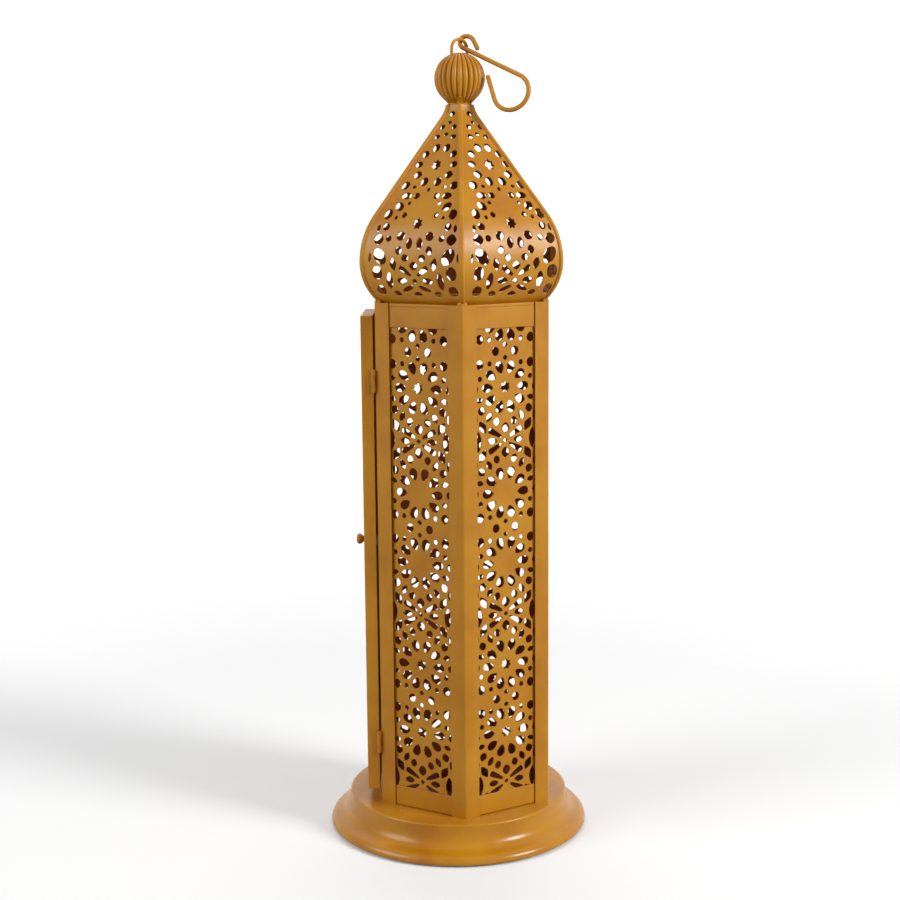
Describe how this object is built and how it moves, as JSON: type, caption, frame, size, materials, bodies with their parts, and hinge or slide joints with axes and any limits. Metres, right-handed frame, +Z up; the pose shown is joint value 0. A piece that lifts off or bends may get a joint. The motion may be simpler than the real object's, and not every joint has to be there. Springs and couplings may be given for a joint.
{
  "type": "candle lantern",
  "caption": "Tall hexagonal pierced sheet-metal candle lantern with onion dome, ribbed ball finial, hanging hook, side door and round flared foot.",
  "frame": {"origin": "on the floor under the centre of the round foot", "axes": "+Z up, -Y towards the front corner between the two pierced sides seen in the picture, +X right, so the door is on the -X side"},
  "size_m": [0.201, 0.201, 0.6073],
  "materials": {
    "lantern_paint": "satin ochre-gold paint with a soft sheen",
    "plain_steel": "plain zinc-grey steel"
  },
  "bodies": {
    "lantern": {"base": "lantern_paint", "floor_plate": "lantern_paint", "candle_cup": "lantern_paint", "post_front": "lantern_paint", "post_front_right": "lantern_paint", "post_back_right": "lantern_paint", "post_back": "lantern_paint", "post_back_left": "lantern_paint", "post_front_left": "lantern_paint", "bottom_band": "lantern_paint", "top_band": "lantern_paint", "top_cap": "lantern_paint", "panel_front_left": "lantern_paint", "panel_front_right": "lantern_paint", "panel_right": "lantern_paint", "panel_back_right": "lantern_paint", "panel_back_left": "lantern_paint", "dome_petal_front_left": "lantern_paint", "dome_petal_front_right": "lantern_paint", "dome_petal_right": "lantern_paint", "dome_petal_back_right": "lantern_paint", "dome_petal_back_left": "lantern_paint", "dome_petal_left": "lantern_paint", "dome_rib_front": "lantern_paint", "dome_rib_front_right": "lantern_paint", "dome_rib_back_right": "lantern_paint", "dome_rib_back": "lantern_paint", "dome_rib_back_left": "lantern_paint", "dome_rib_front_left": "lantern_paint", "neck_plate": "lantern_paint", "finial_ball": "lantern_paint", "finial_screw": "plain_steel", "hanging_staple": "lantern_paint", "hinge_lower_post_leaf": "lantern_paint", "hinge_upper_post_leaf": "lantern_paint", "hinge_lower_pin": "plain_steel", "hinge_upper_pin": "plain_steel"},
    "door": {"door_frame": "lantern_paint", "door_panel": "lantern_paint", "hinge_lower_door_leaf": "lantern_paint", "hinge_upper_door_leaf": "lantern_paint", "door_knob": "lantern_paint", "door_catch": "plain_steel"},
    "hook": {"hook": "lantern_paint"}
  },
  "joints": [
    {"name": "door_hinge", "type": "hinge", "parent": "lantern", "child": "door", "pos_m": [-0.06058, -0.03825, 0], "axis": [0, 0, 1], "range_deg": [0, 140]},
    {"name": "hook_swing", "type": "hinge", "parent": "lantern", "child": "hook", "pos_m": [0.00998, 0.00302, 0.60113], "axis": [-0.3635, -0.8996, 0.2419], "range_deg": [0, 150]}
  ]
}
